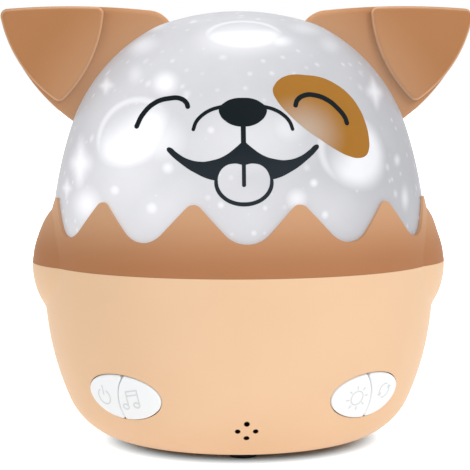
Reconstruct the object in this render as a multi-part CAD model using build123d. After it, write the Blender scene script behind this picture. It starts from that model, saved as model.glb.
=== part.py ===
"""Puppy night light projector: an egg-shaped lamp with a lift-off dome, folded ears and four push buttons.

Millimetres, +Z up, front towards -Y, origin on the floor under the egg's axis.
"""

import math
import os

from build123d import *

# Egg outline from the flat underside up: start radius, then tangent arcs as radius and end heading
UNDERSIDE_Z = 2.4
SEAM_Z = 58.8
SEAM_GAP = 0.2
EGG_START = (30.0, UNDERSIDE_Z)
EGG_HEADING = 0.0
EGG_ARCS = [(55.6, 8.6), (21.1, 66.4), (89.8, 90.6), (245.0, 97.6)]
BASE_WALL = 2.2

# Dome outline from its foot on the collar flange up; the crown arc closes on the axis
DOME_FOOT_Z = 60.8
DOME_START = (60.0, DOME_FOOT_Z)
DOME_HEADING = 90.35
DOME_ARCS = [(132.2, 108.2), (55.1, 151.2), (23.9, 161.2), (None, 180.0)]
DOME_WALL = 1.8
FIT_GAP = 0.1

# Cheeks: low barrels astride the seam, with an upright radius and a wider one round their own axis
CHEEK_REACH = 66.0
CHEEK_UPRIGHT_RADIUS = 23.0
CHEEK_ROUND_RADIUS = 40.0
CHEEK_Z = 57.6
CHEEK_CREASE = 4.0

# Collar: twelve rounded points
POINT_COUNT = 12
POINT_Z = 79.8
VALLEY_Z = 68.5
POINT_ROUND = 2.4
VALLEY_ROUND = 7.0
FLANK_SLOPE = 49
FLANGE_RADIUS = 54.0
DOME_SCREW_RADIUS = 57.0
DOME_SCREW_ANGLES = [30, 150, 270]

# Ears, in the plane across the head
EAR_FRONT_Y = 3.5
EAR_BACK_Y = 12.5
EAR_ROUND = 1.8
EAR_INNER_CORNER = (21.2, 137.8)
EAR_TOP_MIDDLE = (50.0, 139.9)
EAR_TIP = (76.4, 138.9)
EAR_OUTER_MIDDLE = (66.5, 116.6)
EAR_ROOT_LOW = (46.5, 99.2)
EAR_ROOT_TOP = (20.0, 128.0)
EAR_TIP_ROUND = 2.4
EAR_INNER_ROUND = 8.5
FLAP_FRONT_Y = 0.3
FLAP_INNER_CORNER = (42.6, 139.4)
FLAP_TOP_MIDDLE = (60.0, 139.5)
FLAP_TIP = (75.8, 138.5)
FLAP_OUTER_MIDDLE = (66.1, 117.0)
FLAP_LOW = (56.9, 109.0)
FLAP_INNER_MIDDLE = (46.9, 122.3)
FLAP_LOW_ROUND = 2.4
FLAP_INNER_ROUND = 2.0
FLAP_ROUND = 1.3
PEG_Y = 8.0
PEG_RADIUS = 2.0
PILOT_RADIUS = 0.95
PEG_TILT = 45
PEG_HEIGHTS = [112.0, 125.5]
EAR_SCREW_GAP = 1.0

# Buttons: two ovals at the lower front, each split in two by an arc
BUTTON_ANGLE = 39.9
BUTTON_Z = 21.8
OVAL_HALF_WIDTH = 14.0
OVAL_HALF_HEIGHT = 7.6
SPLIT_CENTRE = (11.9, -2.2)
SPLIT_RADIUS = 13.5
BUTTON_GAP = 0.3
BUTTON_PROUD = 0.45
CAP_EDGE = 0.5
CAP_CORNER = 0.8
CAP_SKIN_HEADING = 45.0
CAP_FOOT = -5.6
CAP_FLANGE_TOP = -4.4
CAP_FLANGE_WIDTH = 1.1
STEM_END = -7.5
STEM_RADIUS = 2.0
MAIN_STEM_X = 5.3
SMALL_STEM_X = -7.8
PLUNGER_RADIUS = 1.7
SWITCH_TOP = -9.1
SWITCH_SIDE = 6.0
SWITCH_HEIGHT = 3.6
BOARD_THICK = 1.6
SWITCH_BOARD_X = -2.0
SWITCH_BOARD_SIZE = (24.0, 28.0)
SWITCH_POST_Y = 11.4
SWITCH_POST_RADIUS = 2.6

# Sound holes and speaker, on the surface normal at the lower front
SOUND_Z = 13.0
SOUND_HOLE_RADIUS = 0.75
SOUND_HOLE_OFFSET = 2.6
SPEAKER_SEAT = -9.0
SPEAKER_RADIUS = 11.5
SPEAKER_SEAT_INNER = 10.5
SPEAKER_SEAT_OUTER = 12.5
SPEAKER_SCREW_X = 13.7

# Underside
FOOT_RADIUS = 4.2
FOOT_CIRCLE = 25.8
FOOT_ANGLES = [270, 30, 150]
FOOT_RECESS = 1.2
POST_CIRCLE = 27.0
POST_ANGLES = [90, 210, 330]
POST_RADIUS = 4.2
POST_TOP_Z = 30.0
WELL_RADIUS = 2.8
WELL_TOP_Z = 25.8

# Deck
DECK_Z = 53.0
DECK_TOP_Z = 55.5
DECK_RADIUS = 58.9
RIM_OUTER = 53.6
RIM_INNER = 51.6
RIM_TOP_Z = 61.0
LAMP_POST_RADIUS = 9.0
LAMP_POST_BORE = 5.5
LAMP_POST_TOP_Z = 66.0

# Film drive: spur pair of module one
GEAR_MODULE = 1.0
CARRIER_TEETH = 60
PINION_TEETH = 18
GEAR_BACKLASH = 0.2
CENTRE_EXTRA = 0.1
CENTRE_DISTANCE = GEAR_MODULE * (CARRIER_TEETH + PINION_TEETH) / 2 + CENTRE_EXTRA
DRIVE_ANGLE = 30
GEAR_Z = 56.2
GEAR_TOP_Z = 60.2
FILM_RADIUS = 27.5
FILM_WALL = 0.8
FILM_SEAT_Z = 59.6
FILM_TOP_Z = 97.0
MOTOR_RADIUS = 12.5
MOTOR_BOTTOM_Z = 39.0
MOTOR_LUG_OFFSET = 15.6
MOTOR_LUG_THICK = 1.4
MOTOR_BOSS_RADIUS = 4.0
SHAFT_RADIUS = 2.0
SHAFT_GAP = 0.08
HUB_RADIUS = 12.3

# Main board under the deck, lamp board on its post, battery on the floor of the bowl
BOARD_CENTRE = (-10.0, 6.5)
BOARD_SIZE = (56.0, 27.0)
BOARD_TOP_Z = 48.0
BOARD_HOLES = [(-25.0, -10.5), (25.0, -10.5), (-25.0, 10.5), (25.0, 10.5)]
LED_BOARD_RADIUS = 11.0
LED_SCREW_X = 7.2
LED_BODY = (6.0, 6.0, 1.2)
LED_LENS_RADIUS = 2.5
BATTERY_CENTRE = (0.0, 7.0)
BATTERY_SIZE = (50.0, 29.0, 8.0)
BATTERY_ROUND = 2.5
PAD_SIZE = (44.0, 26.0, 0.8)

# Charging socket at the back
PORT_Z = 26.0
PORT_SIZE = (9.0, 3.2)
PORT_DEPTH = 7.5
PORT_MOUTH_Y = 57.6
PORT_GAP = 0.25
CHARGE_BOARD_SIZE = (14.6, 7.6, 1.2)
CHARGE_BOARD_Y = 46.5
CHARGE_SCREW_X = 5.6
CHARGE_SCREW_Y = 49.2

# Screw holes by radius: free hole and pilot hole for two-millimetre screws, pilot for the finer ones
FREE_HOLE = 1.3
PILOT_HOLE = 1.05
FINE_PILOT_HOLE = 0.85

FROM_BELOW = (Align.CENTER, Align.CENTER, Align.MIN)
FROM_ABOVE = (Align.CENTER, Align.CENTER, Align.MAX)


def arc_chain(start, heading, arcs, inset):
    """Tangent arcs turning left, each as centre, radius, first and last heading, moved in by the inset."""
    chain = []
    r, z = start
    for radius, last in arcs:
        sine = math.sin(math.radians(heading))
        cosine = math.cos(math.radians(heading))
        if radius is None:
            radius = r / sine
        centre = (r - radius * sine, z + radius * cosine)
        chain.append((centre, radius - inset, heading, last))
        r, z = arc_point(centre, radius, last)
        heading = last
    return chain


def arc_point(centre, radius, heading):
    angle = math.radians(heading)
    return centre[0] + radius * math.sin(angle), centre[1] - radius * math.cos(angle)


def egg_chain(inset):
    return arc_chain(EGG_START, EGG_HEADING, EGG_ARCS, inset)


def dome_chain(inset):
    return arc_chain(DOME_START, DOME_HEADING, DOME_ARCS, inset)


def spun(chain):
    """Solid of revolution about Z under a chain of arcs, its seam at the back."""
    edges = []
    for centre, radius, first, last in chain:
        points = [arc_point(centre, radius, heading) for heading in (first, (first + last) / 2, last)]
        if abs(points[2][0]) < 0.001:
            points[2] = (0, points[2][1])
        edges.append(ThreePointArc(*points))
    start = edges[0] @ 0
    end = edges[-1] @ 1
    corners = [(start.X, start.Y), (0, start.Y), (0, end.Y)]
    if end.X > 0.001:
        corners.append((end.X, end.Y))
    face = make_face(edges + [Polyline(*corners)])
    return Rot(0, 0, 90) * revolve(Plane.XZ * face, axis=Axis.Z)


def egg_solid(inset):
    return spun(egg_chain(inset))


def dome_solid(inset):
    return spun(dome_chain(inset))


def at_height(chain, height):
    """Radius and heading of a rising chain of arcs at one height."""
    for centre, radius, first, last in chain:
        lean = (centre[1] - height) / radius
        if abs(lean) <= 1:
            heading = math.degrees(math.acos(lean))
            if first - 0.001 <= heading <= last + 0.001:
                return arc_point(centre, radius, heading)[0], heading
    raise ValueError("height outside the outline")


def surface_plane(angle, height):
    """Plane on the egg's skin, normal outwards; angle from the front towards +X."""
    radius, heading = at_height(egg_chain(0), height)
    sine = math.sin(math.radians(angle))
    cosine = math.cos(math.radians(angle))
    across = math.sin(math.radians(heading))
    normal = (across * sine, -across * cosine, -math.cos(math.radians(heading)))
    return Plane(origin=(radius * sine, -radius * cosine, height), x_dir=(cosine, sine, 0), z_dir=normal)


def rod(radius, low, high, x=0.0, y=0.0):
    """Upright cylinder between two heights."""
    return Pos(x, y, low) * Cylinder(radius, high - low, align=FROM_BELOW)


def ring(outer, inner, low, high):
    return rod(outer, low, high) - rod(inner, low - 1, high + 1)


def round_place(circle, angle):
    return circle * math.cos(math.radians(angle)), circle * math.sin(math.radians(angle))


def screw(head_radius, head_height, shank_radius, shank_length):
    """Pan-head screw, head below the origin and shank rising from it, with a cross slot in the head."""
    head = Pos(0, 0, -head_height) * Cylinder(head_radius, head_height, align=FROM_BELOW)
    head = fillet(head.edges().sort_by(Axis.Z)[0], head_height * 0.4)
    slot_size = (head_radius * 1.2, head_radius * 0.28, head_height * 0.9)
    slot = Pos(0, 0, -head_height) * Box(*slot_size)
    shank = Cylinder(shank_radius, shank_length, align=FROM_BELOW)
    return head - slot - Rot(0, 0, 90) * slot + shank


def half_space(low, high):
    return Pos(0, 0, low) * Box(400, 400, high - low, align=FROM_BELOW)


def cheeks(inset):
    """Both cheeks, drawn in by the inset: an arc turned about an upright axis inside the head."""
    radius = CHEEK_UPRIGHT_RADIUS - inset
    offset = CHEEK_ROUND_RADIUS - CHEEK_UPRIGHT_RADIUS
    rise = math.sqrt(radius ** 2 - offset ** 2)
    bulge = ThreePointArc((0, -rise), (offset + radius, 0), (0, rise))
    barrel = revolve(Plane.XZ * make_face([bulge, Line((0, rise), (0, -rise))]), axis=Axis.Z)
    left = Pos(CHEEK_ROUND_RADIUS - CHEEK_REACH, 0, CHEEK_Z) * barrel
    return [left, Rot(0, 0, 180) * left]


def head_solid():
    """Egg with both cheeks, their creases softened."""
    body = egg_solid(0)
    for cheek in cheeks(0):
        body = body + cheek
    creases = [edge for edge in body.edges() if abs(edge.center().X) > 50]
    return fillet(creases, CHEEK_CREASE)


def make_collar(head, dome_space):
    """Collar: the head above the seam, hollowed for the dome, its upper edge cut to rounded points."""
    low = SEAM_Z + SEAM_GAP / 2
    band = head & half_space(low, POINT_Z)
    hollow = dome_space
    for cheek in cheeks(DOME_WALL):
        hollow = hollow + cheek
    band = band - (hollow & half_space(DOME_FOOT_Z, POINT_Z + 60))
    band = band - rod(FLANGE_RADIUS, 0, POINT_Z)
    for number in range(POINT_COUNT):
        band = band - Rot(0, 0, number * 360 / POINT_COUNT) * valley_cutter()
    for angle in DOME_SCREW_ANGLES:
        x, y = round_place(DOME_SCREW_RADIUS, angle)
        band = band - rod(FREE_HOLE, SEAM_Z - 1, DOME_FOOT_Z + 1, x, y)
    return band


def valley_cutter():
    """Prism that cuts one valley between two points, at the front."""
    half = at_height(egg_chain(0), POINT_Z)[0] * math.sin(math.pi / POINT_COUNT)
    top = POINT_Z + 12
    # Half of the valley: flat over the point, round, straight flank, round
    slope = math.radians(FLANK_SLOPE)
    point_x = half - POINT_ROUND * math.sin(slope)
    point_y = POINT_Z - POINT_ROUND * (1 - math.cos(slope))
    valley_x = VALLEY_ROUND * math.sin(slope)
    valley_y = VALLEY_Z + VALLEY_ROUND * (1 - math.cos(slope))
    point_mid = (half - POINT_ROUND * math.sin(slope / 2), POINT_Z - POINT_ROUND * (1 - math.cos(slope / 2)))
    edges = []
    for side in (-1, 1):
        edges.append(Line((side * half, top), (side * half, POINT_Z)))
        middle = (side * point_mid[0], point_mid[1])
        edges.append(ThreePointArc((side * half, POINT_Z), middle, (side * point_x, point_y)))
        edges.append(Line((side * point_x, point_y), (side * valley_x, valley_y)))
    edges.append(ThreePointArc((-valley_x, valley_y), (0, VALLEY_Z), (valley_x, valley_y)))
    edges.append(Line((-half, top), (half, top)))
    return extrude(Plane.XZ * make_face(edges), amount=90)


def make_dome():
    dome = dome_solid(0) - dome_solid(DOME_WALL)
    bosses = []
    for angle in DOME_SCREW_ANGLES:
        x, y = round_place(DOME_SCREW_RADIUS, angle)
        bosses.append(rod(2.5, DOME_FOOT_Z, DOME_FOOT_Z + 9, x, y))
    skin = dome_solid(0.3)
    for boss in bosses:
        dome = dome + (boss & skin)
    for angle in DOME_SCREW_ANGLES:
        x, y = round_place(DOME_SCREW_RADIUS, angle)
        dome = dome - rod(PILOT_HOLE, DOME_FOOT_Z - 1, DOME_FOOT_Z + 7.5, x, y)
    for side in (-1, 1):
        for height in PEG_HEIGHTS:
            dome = dome - peg_place(side, height) * Cylinder(PEG_RADIUS + 0.2, 12)
    return dome


def peg_place(side, height):
    """Place on the dome's skin where an ear peg enters, its Z pointing outwards along the peg."""
    radius, _ = at_height(dome_chain(0), height)
    x = math.sqrt(radius ** 2 - PEG_Y ** 2)
    return Pos(side * x, PEG_Y, height) * Rot(0, side * (90 - PEG_TILT), 0)


def ear_prism(edges, corners, front, back, edge_round):
    """Prism of an ear outline across the head; the named corners are rounded, then the front edge."""
    face = make_face(edges)
    for corner, radius in corners:
        vertex = face.vertices().sort_by_distance((corner[0], corner[1], 0))[0]
        face = fillet(vertex, radius)
    prism = Pos(0, back, 0) * extrude(Plane.XZ * face, amount=back - front)
    return fillet(prism.faces().sort_by(Axis.Y)[0].edges().filter_by(GeomType.CIRCLE), edge_round)


def make_ear(side, dome_space):
    """Folded ear: a plate with a raised outer flap, its root cut to the dome, with two pegs."""
    plate = ear_prism(
        [
            ThreePointArc(EAR_INNER_CORNER, EAR_TOP_MIDDLE, EAR_TIP),
            ThreePointArc(EAR_TIP, EAR_OUTER_MIDDLE, EAR_ROOT_LOW),
            Line(EAR_ROOT_LOW, EAR_ROOT_TOP),
            Line(EAR_ROOT_TOP, EAR_INNER_CORNER),
        ],
        [(EAR_TIP, EAR_TIP_ROUND), (EAR_INNER_CORNER, EAR_INNER_ROUND)],
        EAR_FRONT_Y, EAR_BACK_Y, EAR_ROUND)
    plate = fillet(plate.faces().sort_by(Axis.Y)[-1].edges().filter_by(GeomType.CIRCLE), EAR_ROUND)
    flap = ear_prism(
        [
            ThreePointArc(FLAP_INNER_CORNER, FLAP_TOP_MIDDLE, FLAP_TIP),
            ThreePointArc(FLAP_TIP, FLAP_OUTER_MIDDLE, FLAP_LOW),
            ThreePointArc(FLAP_LOW, FLAP_INNER_MIDDLE, FLAP_INNER_CORNER),
        ],
        [(FLAP_TIP, EAR_TIP_ROUND), (FLAP_LOW, FLAP_LOW_ROUND), (FLAP_INNER_CORNER, FLAP_INNER_ROUND)],
        FLAP_FRONT_Y, EAR_FRONT_Y + EAR_ROUND, FLAP_ROUND)
    ear = plate + flap
    if side < 0:
        ear = mirror(ear, about=Plane.YZ)
    ear = ear - dome_space
    for height in PEG_HEIGHTS:
        place = peg_place(side, height)
        peg = Pos(0, 0, -DOME_WALL) * Cylinder(PEG_RADIUS, DOME_WALL + 6, align=FROM_BELOW)
        pilot = Pos(0, 0, -DOME_WALL - 1) * Cylinder(PILOT_RADIUS, 8, align=FROM_BELOW)
        ear = ear + place * peg - place * pilot
    return ear


def make_ear_screws():
    screws = []
    for side in (-1, 1):
        for height in PEG_HEIGHTS:
            place = peg_place(side, height) * Pos(0, 0, -DOME_WALL - EAR_SCREW_GAP)
            screws.append(place * screw(2.6, 1.6, 0.9, 7.0))
    return Compound(children=screws)


def oval(half_width, half_height, low, high):
    return Pos(0, 0, low) * extrude(Ellipse(half_width, half_height), amount=high - low)


def cap_faces(half_width, half_height):
    """Main and small outlines of the left oval, either side of the arc that splits it."""
    whole = Ellipse(half_width, half_height)
    centre = Pos(*SPLIT_CENTRE)
    # The whole oval starts on the small side, so the half turn keeps its seam out of the main outline
    main = Rot(0, 0, 180) * whole & centre * Circle(SPLIT_RADIUS - BUTTON_GAP / 2)
    small = whole - centre * Circle(SPLIT_RADIUS + BUTTON_GAP / 2)
    return main, small


def button_side(side):
    """Front-facing plane of one oval; its X runs towards +X all round."""
    return surface_plane(side * BUTTON_ANGLE, BUTTON_Z)


def make_caps():
    """Main and small caps of the left oval, in place."""
    plane = button_side(-1)
    centre, radius, _, last = egg_chain(-BUTTON_PROUD)[2]
    skin = plane.location.inverse() * spun([(centre, radius, CAP_SKIN_HEADING, last)])
    width = OVAL_HALF_WIDTH - BUTTON_GAP
    height = OVAL_HALF_HEIGHT - BUTTON_GAP
    faces = cap_faces(width, height)
    feet = cap_faces(width + CAP_FLANGE_WIDTH, height + CAP_FLANGE_WIDTH)
    caps = []
    for face, foot, stem_x in zip(faces, feet, (MAIN_STEM_X, SMALL_STEM_X)):
        block = Pos(0, 0, CAP_FOOT) * extrude(face, amount=10) & skin
        block = fillet(block.edges().filter_by(Axis.Z), CAP_CORNER)
        block = fillet(block.faces().sort_by(Axis.Z)[-1].edges(), CAP_EDGE)
        flange = Pos(0, 0, CAP_FOOT) * extrude(foot, amount=CAP_FLANGE_TOP - CAP_FOOT)
        cap = block + flange + rod(STEM_RADIUS, STEM_END, CAP_FOOT, stem_x, 0)
        caps.append(plane.location * cap)
    return caps


def stem_places(side):
    return [-side * MAIN_STEM_X, -side * SMALL_STEM_X]


def make_plunger(side, x):
    body = rod(PLUNGER_RADIUS, SWITCH_TOP - 1.0, STEM_END, x, 0)
    return button_side(side).location * body


def make_switches(side):
    """Two switch bodies, each hollow for its plunger."""
    bodies = []
    for x in stem_places(side):
        body = Pos(x, 0, SWITCH_TOP) * Box(SWITCH_SIDE, SWITCH_SIDE, SWITCH_HEIGHT, align=FROM_ABOVE)
        body = body - rod(PLUNGER_RADIUS + 0.3, SWITCH_TOP - 2.6, SWITCH_TOP + 1, x, 0)
        bodies.append(button_side(side).location * body)
    return Compound(children=bodies)


def switch_board_z():
    return SWITCH_TOP - SWITCH_HEIGHT


def make_switch_board(side):
    x = -side * SWITCH_BOARD_X
    board = Pos(x, 0, switch_board_z()) * Box(*SWITCH_BOARD_SIZE, BOARD_THICK, align=FROM_ABOVE)
    board = fillet(board.edges().filter_by(Axis.Z), 2.0)
    for y in (-SWITCH_POST_Y, SWITCH_POST_Y):
        board = board - rod(FREE_HOLE, -30, 0, x, y)
    return button_side(side).location * board


def make_switch_board_screws():
    screws = []
    for side in (-1, 1):
        for y in (-SWITCH_POST_Y, SWITCH_POST_Y):
            place = Pos(-side * SWITCH_BOARD_X, y, switch_board_z() - BOARD_THICK)
            screws.append(button_side(side).location * place * screw(2.2, 1.4, 1.0, 6.0))
    return Compound(children=screws)


def sound_plane():
    return surface_plane(0, SOUND_Z)


def port_prism(grow, low_y, high_y):
    """Rounded slot along Y at the back."""
    width = PORT_SIZE[0] + 2 * grow
    height = PORT_SIZE[1] + 2 * grow
    face = RectangleRounded(width, height, height / 2 - 0.01)
    return Pos(0, high_y, PORT_Z) * extrude(Plane.XZ * face, amount=high_y - low_y)


def make_base_shell(head):
    cavity = egg_solid(BASE_WALL)
    for cheek in cheeks(BASE_WALL):
        cavity = cavity + cheek
    top = SEAM_Z - SEAM_GAP / 2
    shell = (head & half_space(0, top)) - cavity
    core = egg_solid(1.0) & half_space(0, top)
    # Screw posts
    for angle in POST_ANGLES:
        x, y = round_place(POST_CIRCLE, angle)
        shell = shell + rod(POST_RADIUS, UNDERSIDE_Z + 1, POST_TOP_Z, x, y)
    # Switch board posts, speaker seat and socket ribs stand on the wall
    for side in (-1, 1):
        for y in (-SWITCH_POST_Y, SWITCH_POST_Y):
            x = -side * SWITCH_BOARD_X
            post = button_side(side).location * rod(SWITCH_POST_RADIUS, switch_board_z(), 2, x, y)
            shell = shell + (post & core)
    seat = rod(SPEAKER_SEAT_OUTER, SPEAKER_SEAT, 2)
    for x in (-SPEAKER_SCREW_X, SPEAKER_SCREW_X):
        seat = seat + rod(2.6, SPEAKER_SEAT, 2, x, 0)
    seat = seat - rod(SPEAKER_SEAT_INNER, SPEAKER_SEAT - 1, 3)
    shell = shell + ((sound_plane().location * seat) & core)
    board_low = PORT_Z - PORT_SIZE[1] / 2 - CHARGE_BOARD_SIZE[2]
    for x in (-CHARGE_SCREW_X, CHARGE_SCREW_X):
        rib = Pos(x, CHARGE_BOARD_Y, board_low) * Box(3.4, 14, 9, align=(Align.CENTER, Align.MIN, Align.MAX))
        shell = shell + (rib & core)
    # Openings
    for side in (-1, 1):
        shell = shell - button_side(side).location * oval(OVAL_HALF_WIDTH, OVAL_HALF_HEIGHT, -9, 6)
        for y in (-SWITCH_POST_Y, SWITCH_POST_Y):
            x = -side * SWITCH_BOARD_X
            shell = shell - button_side(side).location * rod(PILOT_HOLE, -20, switch_board_z() + 5, x, y)
    for x, y in ((-1, 0), (1, 0), (0, -1), (0, 1)):
        hole = rod(SOUND_HOLE_RADIUS, -4, 4, x * SOUND_HOLE_OFFSET, y * SOUND_HOLE_OFFSET)
        shell = shell - sound_plane().location * hole
    for x in (-SPEAKER_SCREW_X, SPEAKER_SCREW_X):
        pilot = rod(FINE_PILOT_HOLE, SPEAKER_SEAT - 3, SPEAKER_SEAT + 3, x, 0)
        shell = shell - sound_plane().location * pilot
    shell = shell - port_prism(PORT_GAP, 50, 70)
    for x in (-CHARGE_SCREW_X, CHARGE_SCREW_X):
        shell = shell - rod(FINE_PILOT_HOLE, board_low - 5, board_low + 1, x, CHARGE_SCREW_Y)
    for angle in POST_ANGLES:
        x, y = round_place(POST_CIRCLE, angle)
        shell = shell - rod(WELL_RADIUS, 0, WELL_TOP_Z, x, y) - rod(1.7, 0, POST_TOP_Z + 1, x, y)
    for angle in FOOT_ANGLES:
        x, y = round_place(FOOT_CIRCLE, angle)
        shell = shell - rod(FOOT_RADIUS + 0.05, 0, UNDERSIDE_Z + FOOT_RECESS, x, y)
    return shell


def make_feet():
    feet = []
    for angle in FOOT_ANGLES:
        x, y = round_place(FOOT_CIRCLE, angle)
        foot = Cylinder(FOOT_RADIUS, UNDERSIDE_Z + FOOT_RECESS, align=FROM_BELOW)
        foot = fillet(foot.edges().sort_by(Axis.Z)[0], 0.7)
        feet.append(Pos(x, y, 0) * foot)
    return Compound(children=feet)


def drive_place():
    return round_place(CENTRE_DISTANCE, DRIVE_ANGLE)


def board_hole_places():
    return [(BOARD_CENTRE[0] + x, BOARD_CENTRE[1] + y) for x, y in BOARD_HOLES]


def motor_screw_places():
    x, y = drive_place()
    across = math.radians(DRIVE_ANGLE + 90)
    step_x = MOTOR_LUG_OFFSET * math.cos(across)
    step_y = MOTOR_LUG_OFFSET * math.sin(across)
    return [(x + step_x, y + step_y), (x - step_x, y - step_y)]


def make_deck():
    deck = rod(DECK_RADIUS, DECK_Z, DECK_TOP_Z)
    deck = deck + ring(RIM_OUTER, RIM_INNER, DECK_TOP_Z - 0.5, RIM_TOP_Z)
    deck = deck + rod(LAMP_POST_RADIUS, DECK_TOP_Z - 0.5, LAMP_POST_TOP_Z)
    deck = deck + rod(HUB_RADIUS, DECK_TOP_Z - 0.5, DECK_TOP_Z + 0.4)
    for angle in POST_ANGLES:
        x, y = round_place(POST_CIRCLE, angle)
        boss = rod(POST_RADIUS, POST_TOP_Z, DECK_Z + 0.5, x, y)
        deck = deck + boss - rod(1.45, POST_TOP_Z - 1, POST_TOP_Z + 14, x, y)
    for x, y in board_hole_places():
        deck = deck + rod(2.6, BOARD_TOP_Z, DECK_Z + 0.5, x, y)
        deck = deck - rod(PILOT_HOLE, BOARD_TOP_Z - 1, DECK_Z, x, y)
    deck = deck - rod(LAMP_POST_BORE, DECK_Z - 1, LAMP_POST_TOP_Z + 1)
    for x in (-LED_SCREW_X, LED_SCREW_X):
        deck = deck - rod(FINE_PILOT_HOLE, LAMP_POST_TOP_Z - 5, LAMP_POST_TOP_Z + 1, x, 0)
    x, y = drive_place()
    deck = deck - rod(MOTOR_BOSS_RADIUS + 0.3, DECK_Z - 1, DECK_TOP_Z + 1, x, y)
    for x, y in motor_screw_places():
        deck = deck - rod(PILOT_HOLE, DECK_Z - 1, DECK_TOP_Z - 0.6, x, y)
    top_edges = [edge for edge in deck.edges() if abs(edge.center().Z - RIM_TOP_Z) < 0.01]
    return fillet(top_edges, 0.5)


def make_deck_screws():
    screws = []
    for angle in POST_ANGLES:
        x, y = round_place(POST_CIRCLE, angle)
        screws.append(Pos(x, y, WELL_TOP_Z) * screw(2.5, 1.9, 1.4, 16.0))
    return Compound(children=screws)


def make_dome_screws():
    screws = []
    for angle in DOME_SCREW_ANGLES:
        x, y = round_place(DOME_SCREW_RADIUS, angle)
        screws.append(Pos(x, y, SEAM_Z + SEAM_GAP / 2) * screw(2.1, 1.4, 1.0, 8.5))
    return Compound(children=screws)


def gear_face(teeth, turn):
    """Spur gear outline with involute flanks; the first tooth points along the given turn."""
    pitch = GEAR_MODULE * teeth / 2
    pressure = math.radians(20)
    base = pitch * math.cos(pressure)
    tip = pitch + 0.9 * GEAR_MODULE
    root = pitch - 1.15 * GEAR_MODULE
    start = max(root, base)
    half_pitch = math.pi / (2 * teeth) - GEAR_BACKLASH / (4 * pitch)

    def involute(radius):
        lean = math.acos(min(1.0, base / radius))
        return math.tan(lean) - lean

    def half_angle(radius):
        return half_pitch + involute(pitch) - involute(radius)

    def spot(radius, angle):
        return radius * math.cos(angle), radius * math.sin(angle)

    edges = []
    step = 2 * math.pi / teeth
    for number in range(teeth):
        centre = math.radians(turn) + number * step
        wide = half_angle(start)
        flank = [start, (start + tip) / 2, tip]
        low = [spot(radius, centre - half_angle(radius)) for radius in flank]
        high = [spot(radius, centre + half_angle(radius)) for radius in flank]
        root_low = spot(root, centre - wide)
        root_high = spot(root, centre + wide)
        if start > root:
            edges.append(Line(root_low, low[0]))
            edges.append(Line(high[0], root_high))
        edges.append(ThreePointArc(*low))
        edges.append(Line(low[2], high[2]))
        edges.append(ThreePointArc(*high))
        edges.append(Line(root_high, spot(root, centre + step - wide)))
    return make_face(edges)


def make_film_carrier():
    carrier = Pos(0, 0, GEAR_Z) * extrude(gear_face(CARRIER_TEETH, DRIVE_ANGLE), amount=GEAR_TOP_Z - GEAR_Z)
    carrier = carrier - rod(FILM_RADIUS - 1, FILM_SEAT_Z - 1.6 - 5, FILM_SEAT_Z - 1.6)
    carrier = carrier - rod(FILM_RADIUS + 0.1, FILM_SEAT_Z, GEAR_TOP_Z + 5)
    carrier = carrier + ring(FILM_RADIUS + 1.0, FILM_RADIUS + 0.1, FILM_SEAT_Z, FILM_SEAT_Z + 3)
    carrier = carrier + rod(HUB_RADIUS, GEAR_Z, FILM_SEAT_Z + 4)
    carrier = carrier - rod(LAMP_POST_RADIUS + SHAFT_GAP, 0, 100)
    for number in range(6):
        x, y = round_place(19.5, number * 60 + 30)
        carrier = carrier - rod(4.5, FILM_SEAT_Z - 5, FILM_SEAT_Z + 5, x, y)
    return carrier


def film_solid(inset):
    """Upright cup with a half-round crown."""
    radius = FILM_RADIUS - inset
    shoulder = FILM_TOP_Z - FILM_RADIUS
    crown = Pos(0, 0, shoulder) * Sphere(radius)
    return rod(radius, FILM_SEAT_Z, shoulder) + (crown & half_space(shoulder, FILM_TOP_Z + 1))


def make_film_dome():
    return film_solid(0) - film_solid(FILM_WALL)


def make_pinion():
    x, y = drive_place()
    # A gap of the pinion faces the carrier tooth that lies on the line of centres
    turn = DRIVE_ANGLE + 180 + 180 / PINION_TEETH
    pinion = Pos(0, 0, GEAR_Z) * extrude(gear_face(PINION_TEETH, turn), amount=GEAR_TOP_Z - GEAR_Z)
    pinion = pinion + rod(5.0, GEAR_TOP_Z, GEAR_TOP_Z + 2)
    pinion = pinion - rod(SHAFT_RADIUS + 0.02, 0, 100)
    return Pos(x, y, 0) * pinion


def make_motor_shaft():
    x, y = drive_place()
    return rod(SHAFT_RADIUS, MOTOR_BOTTOM_Z + 5, GEAR_TOP_Z + 2.4, x, y)


def make_motor():
    """Flat geared motor under the deck, with a bearing boss and two lugs."""
    x, y = drive_place()
    motor = rod(MOTOR_RADIUS, MOTOR_BOTTOM_Z, DECK_Z)
    motor = fillet(motor.edges().sort_by(Axis.Z)[0], 1.2)
    lug = Pos(0, 0, DECK_Z) * Box(5, 2 * MOTOR_LUG_OFFSET, MOTOR_LUG_THICK, align=FROM_ABOVE)
    motor = motor + lug
    for side in (-1, 1):
        motor = motor + rod(2.5, DECK_Z - MOTOR_LUG_THICK, DECK_Z, 0, side * MOTOR_LUG_OFFSET)
    for side in (-1, 1):
        motor = motor - rod(FREE_HOLE, DECK_Z - 5, DECK_Z + 1, 0, side * MOTOR_LUG_OFFSET)
    motor = motor + rod(MOTOR_BOSS_RADIUS, DECK_Z - 0.5, DECK_TOP_Z)
    motor = motor - rod(SHAFT_RADIUS + SHAFT_GAP, MOTOR_BOTTOM_Z + 4, DECK_TOP_Z + 1)
    return Pos(x, y, 0) * Rot(0, 0, DRIVE_ANGLE) * motor


def make_motor_screws():
    screws = []
    for x, y in motor_screw_places():
        screws.append(Pos(x, y, DECK_Z - MOTOR_LUG_THICK) * screw(2.0, 1.3, 1.0, 3.0))
    return Compound(children=screws)


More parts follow.
